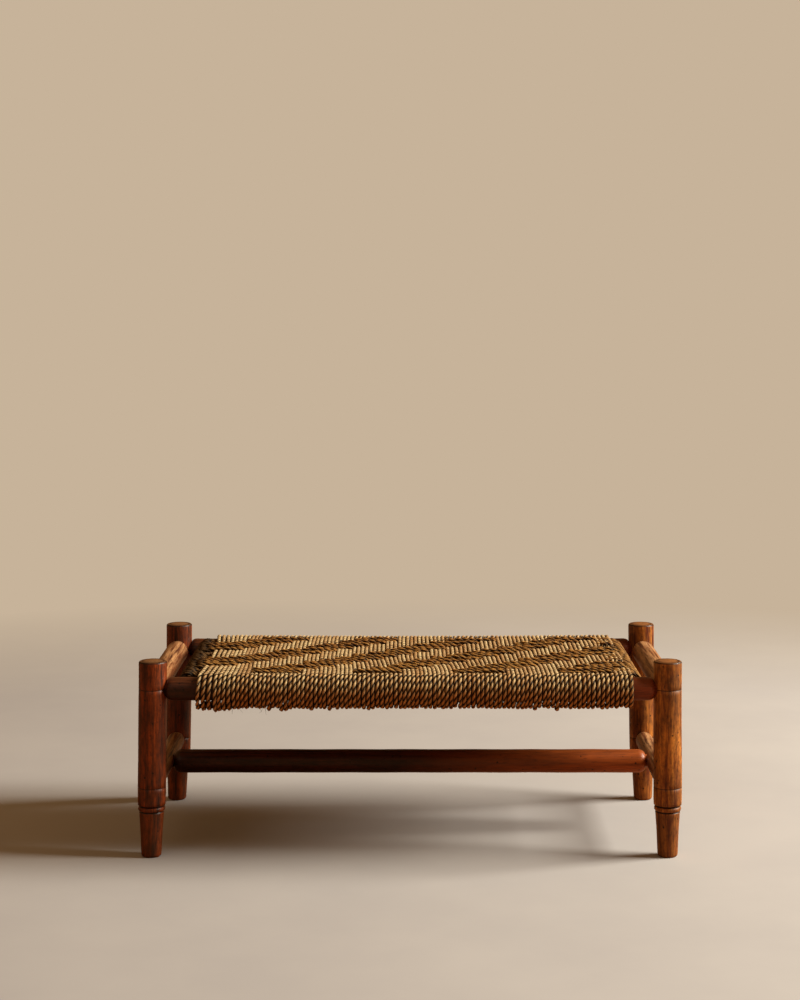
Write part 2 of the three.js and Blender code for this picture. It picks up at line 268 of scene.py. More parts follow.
def leg_outline():
    """The leg from its sole up: rounded foot, taper, bead between two grooves, post and domed top."""
    sole, foot, rounding = 11.5 * MM, 15 * MM, 4.5 * MM
    calf, calf_height, taper = 16.75 * MM, 43 * MM, 18.6 * MM
    lip, lip_height = 0.3 * MM, 1.5 * MM
    bead, bead_inset, swell, swell_length = 20.1 * MM, 0.6 * MM, 20.6 * MM, 8.8 * MM
    groove_depth, half_floor, high_rise = 1.6 * MM, 0.4 * MM, 0.4 * MM
    top_rounding, crown = 3.2 * MM, 1.2 * MM
    core = taper - groove_depth
    taper_end, swell_start = LOW_GROOVE - GROOVE_WIDTH / 2, HIGH_GROOVE + GROOVE_WIDTH / 2
    bead_middle = (LOW_GROOVE + HIGH_GROOVE) / 2
    half_bead = (HIGH_GROOVE - LOW_GROOVE - GROOVE_WIDTH) / 2
    parts = [
        [(CAP_RADIUS, 0)],
        arc((sole, rounding), (foot - sole, rounding), -90, 0, 5),
        [(calf, calf_height), (taper - lip, taper_end - lip_height), (taper, taper_end)],
        [(core, LOW_GROOVE - half_floor), (core, LOW_GROOVE + half_floor)],
        arc((core + bead_inset, bead_middle), (bead - core - bead_inset, half_bead + bead_inset), -80, 80, 8),
        [(core + high_rise, HIGH_GROOVE - half_floor), (core + high_rise, HIGH_GROOVE + half_floor)],
        [(swell, swell_start), (LEG_RADIUS, swell_start + swell_length)],
        scribe_line(STRETCHER_HEIGHT),
        scribe_line(SEAT_RAIL_HEIGHT),
        arc((LEG_RADIUS - top_rounding, LEG_HEIGHT - crown - top_rounding),
            (top_rounding, top_rounding), 0, 75, 6),
        arc((0, LEG_HEIGHT - 3 * crown), (LEG_RADIUS - top_rounding, 3 * crown), 24, 89, 6),
    ]
    return np.concatenate([np.asarray(part, float) for part in parts])


def rail_outline(length, radius, end_radius, shoulder, neck, tenon_radius, tenon_depth):
    """A round rail about its middle: body, rounded shoulders, a short neck into its neighbour, and tenons."""
    half = length / 2
    end = [(radius, half - shoulder)]
    end += [tuple(row) for row in
            arc((end_radius, half - shoulder), (radius - end_radius, shoulder), 0, 90, 8)[1:]]
    end += [(end_radius, half + neck), (tenon_radius, half + neck), (tenon_radius, half + tenon_depth),
            (CAP_RADIUS, half + tenon_depth)]
    end = np.array(end)
    return np.concatenate([end[::-1] * (1, -1), end])


def make_legs(shaded_and_lit_woods):
    """Four legs of one outline. The left legs' darker wood is painted shade and the right legs' brighter wood
    is painted light: shaded and lit copies of one stain.
    """
    for depth, side_y in (("front", -1), ("back", 1)):
        for wood, hand, side_x in zip(shaded_and_lit_woods, ("left", "right"), (-1, 1)):
            turned_piece(f"turned_leg_{depth}_{hand}", leg_outline(), "z",
                         (side_x * LEG_X, side_y * LEG_Y, 0), wood,
                         seed=11 + side_x + 3 * side_y, sides=96)


def make_rails(long_wood, side_wood, plain_wood):
    """Each rail takes its length from the frame and keeps its node's shoulders and tenons."""
    between_legs_x = 2 * (LEG_X - LEG_RADIUS - JOINT_GAP)
    between_legs_y = 2 * (LEG_Y - LEG_RADIUS - JOINT_GAP)
    between_seat_rails = 2 * (LEG_Y - SEAT_RAIL_RADIUS - JOINT_GAP)
    seat_rail = rail_outline(between_legs_x, BARE_RAIL_RADIUS, end_radius=12.5 * MM, shoulder=9 * MM,
                             neck=6 * MM, tenon_radius=9 * MM, tenon_depth=28 * MM)
    side_rail = rail_outline(between_legs_y, SIDE_RAIL_RADIUS, end_radius=13 * MM, shoulder=16 * MM,
                             neck=6 * MM, tenon_radius=8.5 * MM, tenon_depth=11.5 * MM)
    rope_rail = rail_outline(between_seat_rails, ROPE_RAIL_RADIUS, end_radius=9.5 * MM, shoulder=6 * MM,
                             neck=4 * MM, tenon_radius=6.5 * MM, tenon_depth=14 * MM)
    stretcher = rail_outline(between_legs_y, STRETCHER_RADIUS, end_radius=10 * MM, shoulder=14 * MM,
                             neck=5 * MM, tenon_radius=7 * MM, tenon_depth=20 * MM)
    for number, (depth, side) in enumerate((("front", -1), ("back", 1))):
        turned_piece(f"turned_seat_rail_{depth}", seat_rail, "x", (0, side * LEG_Y, SEAT_RAIL_HEIGHT),
                     long_wood, seed=31 + number, sag=RAIL_SAGS[number])
    for number, (hand, side) in enumerate((("left", -1), ("right", 1))):
        for kind, outline, x, height, wood, slot_name, first_seed in (
                ("side_rail", side_rail, LEG_X, SEAT_RAIL_HEIGHT, side_wood, "stained_wood", 41),
                ("rope_rail", rope_rail, ROPE_RAIL_X, ROPE_RAIL_HEIGHT, plain_wood, "plain_wood", 51),
                ("side_stretcher", stretcher, LEG_X, STRETCHER_HEIGHT, side_wood, "stained_wood", 61)):
            turned_piece(f"turned_{kind}_{hand}", outline, "y", (side * x, 0, height), wood,
                         seed=first_seed + number)


def make_long_stretcher(wood):
    """The middle bar of the H, between the two side stretchers."""
    length = 2 * (LEG_X - STRETCHER_RADIUS - JOINT_GAP)
    outline = rail_outline(length, LONG_RADIUS, end_radius=10 * MM, shoulder=12 * MM, neck=4 * MM,
                           tenon_radius=6.5 * MM, tenon_depth=15 * MM)
    turned_piece("turned_long_stretcher", outline, "x", (0, 0, LONG_HEIGHT), wood, seed=71)


# Rope.

def smooth(t):
    """0 below 0, 1 above 1 and 3t^2 - 2t^3 between."""
    t = np.clip(t, 0, 1)
    return t * t * (3 - 2 * t)


def rail_sag(x, y):
    """How far the seat rails, and the weave with them, sag: (1 - (x / LEG_X)^2), more at the back."""
    front, back = RAIL_SAGS
    depth = front + (back - front) * (np.clip(y / LEG_Y, -1, 1) + 1) / 2
    return depth * (1 - (x / LEG_X) ** 2)


def seat_height(x, y):
    """The weave's middle surface. It sags with the rails, and between them as (1 - u^2)(1 - v^2)."""
    across = np.minimum(np.abs(x) / ROPE_RAIL_X, 1)
    along = np.minimum(np.abs(y) / LEG_Y, 1)
    return WEAVE_HEIGHT - rail_sag(x, y) - SEAT_SAG * (1 - across ** 2) * (1 - along ** 2)


def warp_place(rope, y):
    """X of a warp rope, whose number may be a share of the way to the next one. It is read between a few
    marked ropes, and moves from its place on the front rail to its place over the back half of the seat. The
    first ropes are pulled in between the rails, by WAIST * exp(-(rope / 7)^2) * (1 - (y / LEG_Y)^2)."""
    front = np.interp(rope, MARKED_ROPES, FRONT_PLACES)
    back = np.interp(rope, MARKED_ROPES, BACK_PLACES)
    waist = WAIST * np.exp(-(np.asarray(rope) / 7) ** 2) * np.clip(1 - (y / LEG_Y) ** 2, 0, 1)
    return front + (back - front) * smooth((y + LEG_Y) / LEG_Y) + waist


def column_edges(y):
    """X of the edges of the columns at a depth, halfway between the ropes on their two sides."""
    return warp_place(np.concatenate([[0], np.cumsum(COLUMN_ROPES)]) - 0.5, y)


def warp_on_top(column, unit):
    """Over three and under three, one unit further back for each column to the right."""
    return (unit - column + 1) % (2 * FLOAT_UNITS) < FLOAT_UNITS


def dive(t):
    """0 below -1 and 1 above 1. Between them it follows two equal arcs, one curved each way, as a rope does
    that passes down between two others. The arcs' radius is (a^2 + b^2) / 2b for a half run a and a half
    rise b."""
    run, rise = DIVE_LENGTH / 2, LEVEL_OFFSET
    radius = (run ** 2 + rise ** 2) / (2 * rise)
    inside = run * (1 - np.clip(np.abs(t), 0, 1))
    lift = (radius - np.sqrt(radius ** 2 - inside ** 2)) / (2 * rise)
    return np.where(t < 0, lift, 1 - lift)


def float_level(place, edges, over):
    """Height above the middle surface along a rope: LEVEL_OFFSET over, minus that under, diving at each edge
    where it changes. The middle of each float bows out by FLOAT_BOW, as a half sine between its two ends."""
    level = np.full_like(place, 1.0 if over[0] else -1.0)
    changes = [edges[0]]
    for i in range(1, len(over)):
        if over[i] != over[i - 1]:
            level += (2 if over[i] else -2) * dive((place - edges[i]) / (DIVE_LENGTH / 2))
            changes.append(edges[i])
    changes.append(edges[-1])
    bow = np.zeros_like(place)
    for a, b in zip(changes[:-1], changes[1:]):
        inside = np.clip((place - a) / (b - a), 0, 1)
        bow += np.sin(math.pi * inside)
    return LEVEL_OFFSET * level + FLOAT_BOW * bow * level


def slow_noise(rng, place, amount, length):
    """A wandering offset along a rope: three sines of random phase and about the given wavelength."""
    total = np.zeros_like(place)
    for _ in range(3):
        total += np.sin(2 * math.pi * place / (length * rng.uniform(0.6, 1.6)) + rng.uniform(0, 2 * math.pi))
    return total * amount / 3


def warp_turn(rope, column, rng, slack, pull):
    """One turn of the warp from the middle of the underside: forward, up round the front rail, back over the
    weave, down round the back rail and back to the middle, one rope further right. slack lets it hang below
    the rails, and pull moves it sideways at the front."""
    edge_scatter, pull_fade, back_slack = 0.9 * MM, 60 * MM, 0.8 * slack
    # Under the seat a turn runs to the right of its next wrap, by this share of a rope, and comes back to it
    # just before the front rail.
    swing, swing_run, swing_back = 0.6, 70 * MM, 35 * MM
    y_under = np.linspace(0, -LEG_Y, WARP_UNDER_POINTS, endpoint=False)
    angle = np.linspace(-math.pi / 2, math.pi / 2, WARP_WRAP_POINTS, endpoint=False)
    y_top = np.linspace(-LEG_Y, LEG_Y, WARP_TOP_POINTS)
    over = [warp_on_top(column, unit) for unit in range(WEFT_UNITS)]
    ramp = smooth((LEG_Y - np.abs(y_top)) / (LEG_Y + WEFT_START))
    level = float_level(y_top, UNIT_EDGES + rng.normal(0, edge_scatter, len(UNIT_EDGES)), over)
    level += slow_noise(rng, y_top, amount=0.5 * MM, length=50 * MM)
    x_middle = warp_place(rope, 0)
    crest = SEAT_RAIL_HEIGHT + WARP_REACH - rail_sag(x_middle, y_top)
    z_top = crest * (1 - ramp) + (seat_height(x_middle, y_top) + level) * ramp

    def wrap(side, hang):
        """A wrap round a seat rail from its underside up, loose by hang at the bottom. It lies close from a
        little above the rail's middle, where the sine of the angle is 0.25."""
        close, ease, outward = 0.25, 1.4, 0.35
        loose = hang * smooth((close - np.sin(angle)) / (1 + close)) ** ease
        y = side * (LEG_Y + (WARP_REACH + outward * loose) * np.cos(angle))
        return y, SEAT_RAIL_HEIGHT - rail_sag(x_middle, y) + (WARP_REACH + loose) * np.sin(angle)

    y_front, z_front = wrap(-1, slack)
    y_back, z_back = (row[::-1] for row in wrap(1, back_slack))
    y_return = np.linspace(LEG_Y, 0, WARP_UNDER_POINTS, endpoint=False)
    y = np.concatenate([y_under, y_front, y_top, y_back, y_return])
    z_under = z_front[0] + (MIDDLE_UNDERSIDE - z_front[0]) * smooth(1 + y_under / LEG_Y)
    z_return = z_back[-1] + (MIDDLE_UNDERSIDE - z_back[-1]) * smooth(1 - y_return / LEG_Y)
    z = np.concatenate([z_under, z_front, z_top, z_back, z_return])
    shift = np.concatenate([
        -0.5 + (0.5 + swing) * smooth(-y_under / swing_run)
        - swing * smooth((-y_under - LEG_Y + swing_back) / swing_back),
        np.zeros(len(y_front) + len(y_top) + len(y_back)),
        0.5 * (1 - y_return / LEG_Y),
    ])
    fan = np.concatenate([
        np.exp((-LEG_Y - y_under) / pull_fade), smooth((1 - np.sin(angle)) / 2),
        np.zeros(len(y_top) + len(y_back) + len(y_return)),
    ])
    x = warp_place(rope + shift, y) + pull * fan
    share_of_turn = np.arange(len(x)) / len(x)
    x += slow_noise(rng, share_of_turn, amount=0.35 * MM, length=0.2)
    return np.stack([x, y, z], axis=1)


def weft_turn(rope, unit, rng, phase):
    """One turn of the weft from the middle of its return: left, up round the left rope rail, across through
    the warp, down round the right one and back to the middle, one rope further to the front. The ropes of a
    unit spread evenly over the rope rails and bunch inside, where each in turn rides higher than the
    others."""
    edge_shift, edge_scatter = -0.5 * MM, 1.0 * MM
    rail_run, bunch_run = 13 * MM, 50 * MM
    middle = UNIT_EDGES[unit] + UNIT_DEPTH / 2
    place = rope - (WEFT_UNIT_ROPES - 1) / 2
    over = [not warp_on_top(column, unit) for column in range(len(COLUMN_ROPES))]
    # Over the last column the weft lies on top in most units, as a border of floats.
    over[-1] = over[-2] or unit % 3 > 0
    edges = column_edges(middle)
    x_top = np.linspace(-ROPE_RAIL_X, ROPE_RAIL_X, WEFT_TOP_POINTS)
    level = float_level(x_top, edges + rng.normal(edge_shift, edge_scatter, len(edges)), over)
    level += WEFT_RIDE * np.cos(2 * math.pi * (x_top / WEFT_RIDE_LENGTH + rope / WEFT_UNIT_ROPES) + phase)
    level += slow_noise(rng, x_top, amount=1.3 * MM, length=45 * MM)
    inside = smooth((ROPE_RAIL_X - np.abs(x_top)) / rail_run)
    rail_top = ROPE_RAIL_HEIGHT + WEFT_REACH + slow_noise(rng, x_top, amount=1.2 * MM, length=60 * MM)
    z_top = rail_top * (1 - inside) + (seat_height(x_top, middle) + level) * inside
    angle = np.linspace(-math.pi / 2, math.pi / 2, WEFT_WRAP_POINTS, endpoint=False)
    x_left = -ROPE_RAIL_X - WEFT_REACH * np.cos(angle)
    x_right = -x_left[::-1]
    z_left = ROPE_RAIL_HEIGHT + WEFT_REACH * np.sin(angle)
    x_under = np.linspace(0, -ROPE_RAIL_X, WEFT_UNDER_POINTS, endpoint=False)
    x_return = np.linspace(ROPE_RAIL_X, 0, WEFT_UNDER_POINTS, endpoint=False)
    z_under = np.full(WEFT_UNDER_POINTS, ROPE_RAIL_HEIGHT - WEFT_REACH)
    x = np.concatenate([x_under, x_left, x_top, x_right, x_return])
    z = np.concatenate([z_under, z_left, z_top, z_left[::-1], z_under])
    shift = np.concatenate([
        -0.5 * (1 + x_under / ROPE_RAIL_X), np.zeros(len(x_left) + len(x_top) + len(x_right)),
        0.5 * (1 - x_return / ROPE_RAIL_X),
    ])
    not_on_top = np.zeros(len(x_under) + len(x_left))
    bunched = np.concatenate([not_on_top, smooth((ROPE_RAIL_X - np.abs(x_top)) / bunch_run), not_on_top])
    even = UNIT_DEPTH / WEFT_UNIT_ROPES
    pitch = even + (WEFT_ROPE_PITCH - even) * bunched
    y = middle + place * pitch + shift * even + slow_noise(rng, x, amount=1.1 * MM, length=60 * MM)
    return np.stack([x, y, z], axis=1)


def resample(path, step):
    """The path at equal steps of length, and the length up to each of its new points."""
    length = np.concatenate([[0], np.cumsum(np.linalg.norm(np.diff(path, axis=0), axis=1))])
    places = np.linspace(0, length[-1], round(length[-1] / step))
    return np.stack([np.interp(places, length, path[:, k]) for k in range(3)], axis=1), places


def rope_piece(name, turns, side_axis, groove_share, rng, material, node):
    """Two plies laid right-handed round a path. The section is two lobes, radius * sqrt(a + (1 - a)|cos|)
    with groove_share for a, which turns once in each lay. For the material it keeps the place on the ply,
    the crown between the two grooves, how far beside the path a point lies, and a tint for each turn."""
    path, places = resample(np.concatenate(turns), ROPE_STEP)
    turn_lengths = [np.linalg.norm(np.diff(turn, axis=0), axis=1).sum() for turn in turns]
    turn_index = np.minimum(np.searchsorted(np.cumsum(turn_lengths), places), len(turns) - 1)
    tints = rng.uniform(0, 1, len(turns))
    tangent = np.gradient(path, axis=0)
    tangent /= np.linalg.norm(tangent, axis=1, keepdims=True)
    side = np.zeros_like(path)
    side[:, side_axis] = 1
    side -= (side * tangent).sum(1, keepdims=True) * tangent
    side /= np.linalg.norm(side, axis=1, keepdims=True)
    up = np.cross(tangent, side)
    wander = slow_noise(rng, places, amount=3 * MM, length=200 * MM)
    turn = 2 * math.pi * (places + wander) / ROPE_LAY + rng.uniform(0, 6)
    around = math.pi / 2 + 2 * math.pi * np.arange(ROPE_SIDES) / ROPE_SIDES
    crown = np.abs(np.cos(around))
    thick = ROPE_DIAMETER / 2 * (1 + slow_noise(rng, places, amount=0.07, length=90 * MM))
    radius = thick[:, None] * np.sqrt(groove_share + (1 - groove_share) * crown)[None, :]
    angle = around[None, :] + turn[:, None]
    points = (path[:, None, :] + (radius * np.cos(angle))[..., None] * side[:, None, :]
              + (radius * np.sin(angle))[..., None] * up[:, None, :])
    sizes, corners = tube_faces(len(path), ROPE_SIDES)
    piece = new_piece(name, points.reshape(-1, 3), sizes, corners, material, node)
    place = np.empty(points.shape, np.float32)
    place[..., 0] = thick[:, None] * np.cos(around)[None, :]
    place[..., 1] = thick[:, None] * np.sin(around)[None, :]
    place[..., 2] = places[:, None] + rng.uniform(0, 40)
    add_attribute(piece, "ply_place", "FLOAT_VECTOR", "vector", place)
    add_attribute(piece, "crown", "FLOAT", "value", np.broadcast_to(crown, points.shape[:2]))
    add_attribute(piece, "beside", "FLOAT", "value", np.abs(radius * np.cos(angle)) / thick[:, None])
    add_attribute(piece, "tint", "FLOAT", "value", np.repeat(tints[turn_index], ROPE_SIDES))


def make_warp(material):
    """One piece for each column of ropes. The ropes hang loose under the rails, and here and there one hangs
    lower by LUMP. At the left end they hang lower by LEFT_SLACK * exp(-((rope - 3.5) / 3)^2), and those of
    the first column lean out, each by LEFT_PULL more than the next."""
    rng = np.random.default_rng(WARP_SEED)
    rope = 0
    for column, count in enumerate(COLUMN_ROPES):
        turns = []
        for _ in range(count):
            lump = LUMP if rng.random() < LUMP_CHANCE else 0
            left_end = math.exp(-((rope - 3.5) / 3) ** 2)
            slack = WARP_SLACK + rng.normal(0, SLACK_SCATTER) + lump + LEFT_SLACK * left_end
            pull = rng.normal(0, PULL_SCATTER) - max(0, COLUMN_ROPES[0] - rope) * LEFT_PULL
            turns.append(warp_turn(rope, column, rng, slack, pull))
            rope += 1
        rope_piece(f"warp_ropes_{column + 1:02d}", turns, 0, WARP_GROOVE_SHARE, rng, material, "warp_rope")


def make_loose_fibres(material):
    """A few broken fibres that hang from the wraps near the left end: thin tapering tubes, place + t * run
    + t^2 * bend for t from 0 to 1."""
    taper, below_wraps = 0.6, 5 * MM
    rng = np.random.default_rng(FIBRE_SEED)
    t = np.linspace(0, 1, FIBRE_RINGS)[:, None]
    angle = 2 * math.pi * np.arange(FIBRE_SIDES) / FIBRE_SIDES
    circle = np.stack([np.cos(angle), np.sin(angle), np.zeros(FIBRE_SIDES)], axis=1)
    points, sizes, corners = [], [], []
    for index, x in enumerate(FIBRE_PLACES):
        length = rng.uniform(9, 15) * MM
        run = length * np.array([rng.normal(0, 0.3), rng.normal(0, 0.2), -1])
        bend = length * np.array([rng.normal(0, 0.4), rng.normal(0, 0.2), 0.2])
        start = np.array([x, -LEG_Y, SEAT_RAIL_HEIGHT - WARP_REACH - below_wraps])
        path = start + t * run + t ** 2 * bend
        points.append(path[:, None, :] + FIBRE_RADIUS * (1 - taper * t)[:, None, :] * circle[None, :, :])
        fibre_sizes, fibre_corners = tube_faces(FIBRE_RINGS, FIBRE_SIDES, index * FIBRE_RINGS * FIBRE_SIDES)
        sizes.append(fibre_sizes)
        corners.append(fibre_corners)
    new_piece("loose_fibres", np.concatenate(points).reshape(-1, 3), np.concatenate(sizes),
              np.concatenate(corners), material, "warp_rope")


def make_weft(material):
    """One piece for each unit of ropes that pass over and under together."""
    rng = np.random.default_rng(WEFT_SEED)
    for unit in range(WEFT_UNITS):
        phase = rng.uniform(0, 2 * math.pi)
        turns = [weft_turn(rope, unit, rng, phase) for rope in range(WEFT_UNIT_ROPES)]
        rope_piece(f"weft_ropes_{unit + 1:02d}", turns, 1, WEFT_GROOVE_SHARE, rng, material, "weft_rope")


# Nodes of the materials.

def linear(red, green, blue):
    """A colour as it is seen on screen, from 0 to 255, as the linear colour that a shader takes."""
    share = np.array([red, green, blue]) / 255
    value = np.where(share <= 0.04045, share / 12.92, ((share + 0.055) / 1.055) ** 2.4)
    return (*value.tolist(), 1)


def add_node(tree, kind, **values):
    """A node with its properties set by name and its inputs by (name or number, value) in inputs."""
    node = tree.nodes.new(kind)
    for key, value in values.pop("inputs", {}).items():
        node.inputs[key].default_value = value
    for key, value in values.items():
        setattr(node, key, value)
    return node


def feed(tree, value, socket):
    """Links a socket to an input, or sets the input to a value."""
    if isinstance(value, bpy.types.NodeSocket):
        tree.links.new(value, socket)
    else:
        socket.default_value = value


def mix_colour(tree, factor, first, second):
    """A mix of two colours, each a socket or a colour, by a socket or a number."""
    node = add_node(tree, "ShaderNodeMix", data_type="RGBA")
    for index, value in ((0, factor), (6, first), (7, second)):
        feed(tree, value, node.inputs[index])
    return node.outputs[2]


def to_range(tree, value, low, high, new_low=0.0, new_high=1.0):
    """The value moved from the range low to high onto the new range, and held within it."""
    node = add_node(tree, "ShaderNodeMapRange", inputs={1: low, 2: high, 3: new_low, 4: new_high})
    tree.links.new(value, node.inputs[0])
    return node.outputs[0]


def arithmetic(tree, operation, first, second):
    """One step of arithmetic on two sockets or numbers."""
    node = add_node(tree, "ShaderNodeMath", operation=operation)
    feed(tree, first, node.inputs[0])
    feed(tree, second, node.inputs[1])
    return node.outputs[0]


def multiply(tree, first, second):
    """The product of two sockets or numbers."""
    return arithmetic(tree, "MULTIPLY", first, second)


def coordinate(tree, vector, axis):
    """X, Y or Z of a vector, for axis 0, 1 or 2."""
    node = add_node(tree, "ShaderNodeSeparateXYZ")
    tree.links.new(vector, node.inputs[0])
    return node.outputs[axis]


def object_place(tree):
    """The place on the bench, in metres."""
    return add_node(tree, "ShaderNodeTexCoord").outputs["Object"]


def noise(tree, vector, scale, detail, roughness, stretch=(1, 1, 1)):
    """A noise value on a stretched vector."""
    mapping = add_node(tree, "ShaderNodeMapping", inputs={"Scale": stretch})
    tree.links.new(vector, mapping.inputs["Vector"])
    node = add_node(tree, "ShaderNodeTexNoise",
                    inputs={"Scale": scale, "Detail": detail, "Roughness": roughness})
    tree.links.new(mapping.outputs["Vector"], node.inputs["Vector"])
    return node.outputs["Fac"]


def add_bump(tree, shader, height, strength, distance):
    """A bump of the given height on a shader."""
    bump = add_node(tree, "ShaderNodeBump", inputs={"Strength": strength, "Distance": distance})
    tree.links.new(height, bump.inputs["Height"])
    tree.links.new(bump.outputs["Normal"], shader.inputs["Normal"])


def new_material(name):
    """A material, its node tree and its Principled shader."""
    material = bpy.data.materials.new(name)
    material.use_nodes = True
    return material, material.node_tree, material.node_tree.nodes["Principled BSDF"]


# Wood.

def wood_grain_group():
    """Grain that runs along Z of its vector: streaks, broad patches, small dark marks and a bump height.

    The marks are round dents, one in some of the cells of a scattered pattern of cells, and short pores
    along the grain."""
    tree = bpy.data.node_groups.new("wood_grain", "ShaderNodeTree")
    tree.interface.new_socket("Vector", in_out="INPUT", socket_type="NodeSocketVector")
    for name in ("Streaks", "Patches", "Mottle", "Marks", "Height"):
        tree.interface.new_socket(name, in_out="OUTPUT", socket_type="NodeSocketFloat")
    vector = add_node(tree, "NodeGroupInput").outputs["Vector"]
    result = add_node(tree, "NodeGroupOutput")

    def along_grain(scale, detail, roughness, stretch):
        """Noise drawn out along the grain."""
        return noise(tree, vector, scale, detail, roughness, (1, 1, stretch))

    fine = multiply(tree, along_grain(520, 4, 0.6, 0.06), 0.5)
    broad = multiply(tree, along_grain(120, 3, 0.5, 0.07), 0.5)
    streaks = to_range(tree, arithmetic(tree, "ADD", fine, broad), 0.38, 0.62)
    patches = to_range(tree, along_grain(26, 4, 0.6, 0.4), 0.36, 0.64)
    mottle = to_range(tree, along_grain(210, 4, 0.7, 0.5), 0.44, 0.64)
    pores = to_range(tree, along_grain(800, 2, 0.5, 0.08), 0.62, 0.70, 0, 0.7)

    # The cells are bent by a little noise, so that the dents in them aren't perfect circles.
    wobble = add_node(tree, "ShaderNodeTexNoise", inputs={"Scale": 500.0, "Detail": 2.0})
    tree.links.new(vector, wobble.inputs["Vector"])
    bent = add_node(tree, "ShaderNodeVectorMath", operation="MULTIPLY_ADD")
    tree.links.new(wobble.outputs["Color"], bent.inputs[0])
    bent.inputs[1].default_value = (2 * MM, 2 * MM, 2 * MM)
    tree.links.new(vector, bent.inputs[2])
    cells = add_node(tree, "ShaderNodeTexVoronoi", inputs={"Scale": 95.0})
    tree.links.new(bent.outputs[0], cells.inputs["Vector"])
    cell_colour = add_node(tree, "ShaderNodeSeparateColor")
    tree.links.new(cells.outputs["Color"], cell_colour.inputs[0])
    chosen = to_range(tree, cell_colour.outputs[0], 0.35, 0.65)
    dents = multiply(tree, to_range(tree, cells.outputs["Distance"], 0.10, 0.19, 1, 0), chosen)

    marks = arithmetic(tree, "MAXIMUM", pores, dents)
    height = arithmetic(tree, "SUBTRACT", multiply(tree, streaks, 0.35), marks)
    for name, value in (("Streaks", streaks), ("Patches", patches), ("Mottle", mottle), ("Marks", marks),
                        ("Height", height)):
        tree.links.new(value, result.inputs[name])
    return tree


def height_band(tree, height, middle, inner, outer):
    """1 within the inner distance of a height and 0 beyond the outer one."""
    away = arithmetic(tree, "ABSOLUTE", arithmetic(tree, "SUBTRACT", height, middle), 0)
    return to_range(tree, away, inner, outer, 1, 0)


def leg_wear(tree, place, colour, marks, dark, worn):
    """A leg's scuffed foot, its worn top with painted shade along its edge, and painted shade in its scribed
    lines and grooves.
    Returns the colour and the marks with these added."""
    height = coordinate(tree, place, 2)
    foot = to_range(tree, height, LOW_GROOVE - 4 * MM, LOW_GROOVE, 0.45, 0)
    scuffs = multiply(tree, foot, noise(tree, place, 420, 4, 0.7))
    colour = mix_colour(tree, scuffs, colour, linear(96, 66, 44))
    top = to_range(tree, height, LEG_HEIGHT - 2.4 * MM, LEG_HEIGHT - 1.4 * MM)
    blotches = to_range(tree, noise(tree, place, 260, 4, 0.65), 0.3, 0.6, 0.45, 1)
    colour = mix_colour(tree, multiply(tree, top, blotches), colour, worn)
    # Painted shade: a dark band where the domed top meets the side.
    rim = height_band(tree, height, LEG_HEIGHT - 2.6 * MM, 0.5 * MM, 1.6 * MM)
    colour = mix_colour(tree, multiply(tree, rim, 0.8), colour, dark)
    # Painted shade: the scribed lines and grooves are darkened through the marks.
    for middle, inner, outer, strength in (
            (STRETCHER_HEIGHT, 0.3, 0.9, 0.75), (SEAT_RAIL_HEIGHT, 0.3, 0.9, 0.75),
            (LOW_GROOVE, 0.8, 1.5, 0.95), (HIGH_GROOVE, 0.8, 1.6, 0.95)):
        line = height_band(tree, height, middle, inner * MM, outer * MM)
        marks = arithmetic(tree, "MAXIMUM", marks, multiply(tree, line, strength))
    return colour, marks


def rubbed_top(tree, vector, colour, worn, wear):
    """The worn colour on the side of a rail that faces up, in streaks along the grain."""
    rubbed = to_range(tree, noise(tree, vector, 240, 4, 0.65, (1, 1, 0.05)), 0.40, 0.60)
    normal = add_node(tree, "ShaderNodeTexCoord").outputs["Normal"]
    upward = to_range(tree, coordinate(tree, normal, 2), 0.1, 0.8, 0.0, wear)
    return mix_colour(tree, multiply(tree, rubbed, upward), colour, worn)


def wood_material(name, group, turn, tones, roughness, wear=0, leg=False, right_end_light=None):
    """Stained wood with grain along one axis. tones are its dark, middle and bright stain and its worn
    colour. The colour for the right end is painted light that a long piece shows towards +X. wear is how much
    of the worn colour lies on the side that faces up. A leg has marks of its own instead, as leg_wear says."""
    dark, middle, bright, worn = tones
    material, tree, shader = new_material(name)
    place = object_place(tree)
    mapping = add_node(tree, "ShaderNodeMapping", inputs={"Rotation": turn})
    tree.links.new(place, mapping.inputs["Vector"])
    grain = add_node(tree, "ShaderNodeGroup", node_tree=group)
    tree.links.new(mapping.outputs["Vector"], grain.inputs["Vector"])
    colour = mix_colour(tree, grain.outputs["Streaks"], middle, bright)
    colour = mix_colour(tree, multiply(tree, grain.outputs["Patches"], 0.6), colour, dark)
    colour = mix_colour(tree, multiply(tree, grain.outputs["Mottle"], 0.5), colour, dark)
    marks = multiply(tree, grain.outputs["Marks"], 0.92)
    # Painted light: a brighter colour towards the right end, where the lamp on the right reaches under the
    # seat.
    if right_end_light:
        towards = to_range(tree, coordinate(tree, place, 0), -20 * MM, LEG_X)
        uneven = to_range(tree, grain.outputs["Streaks"], 0, 1, 0.95, 0.35)
        colour = mix_colour(tree, multiply(tree, towards, uneven), colour, right_end_light)
    if leg:
        colour, marks = leg_wear(tree, place, colour, marks, dark, worn)
    else:
        colour = rubbed_top(tree, mapping.outputs["Vector"], colour, worn, wear)
    # The marks darken dents and pores, and on a leg also the painted shade in its grooves and scribed lines.
    colour = mix_colour(tree, marks, colour, linear(26, 12, 7))
    tree.links.new(colour, shader.inputs["Base Color"])
    gloss = to_range(tree, grain.outputs["Patches"], 0, 1, roughness - 0.05, roughness + 0.08)
    tree.links.new(gloss, shader.inputs["Roughness"])
    shader.inputs["Specular IOR Level"].default_value = 0.36
    add_bump(tree, shader, grain.outputs["Height"], strength=0.5, distance=0.35 * MM)
    return material


# Rope fibre.

def rope_value(tree, name, output="Fac"):
    """A value that rope_piece keeps on its mesh."""
    return add_node(tree, "ShaderNodeAttribute", attribute_name=name).outputs[output]


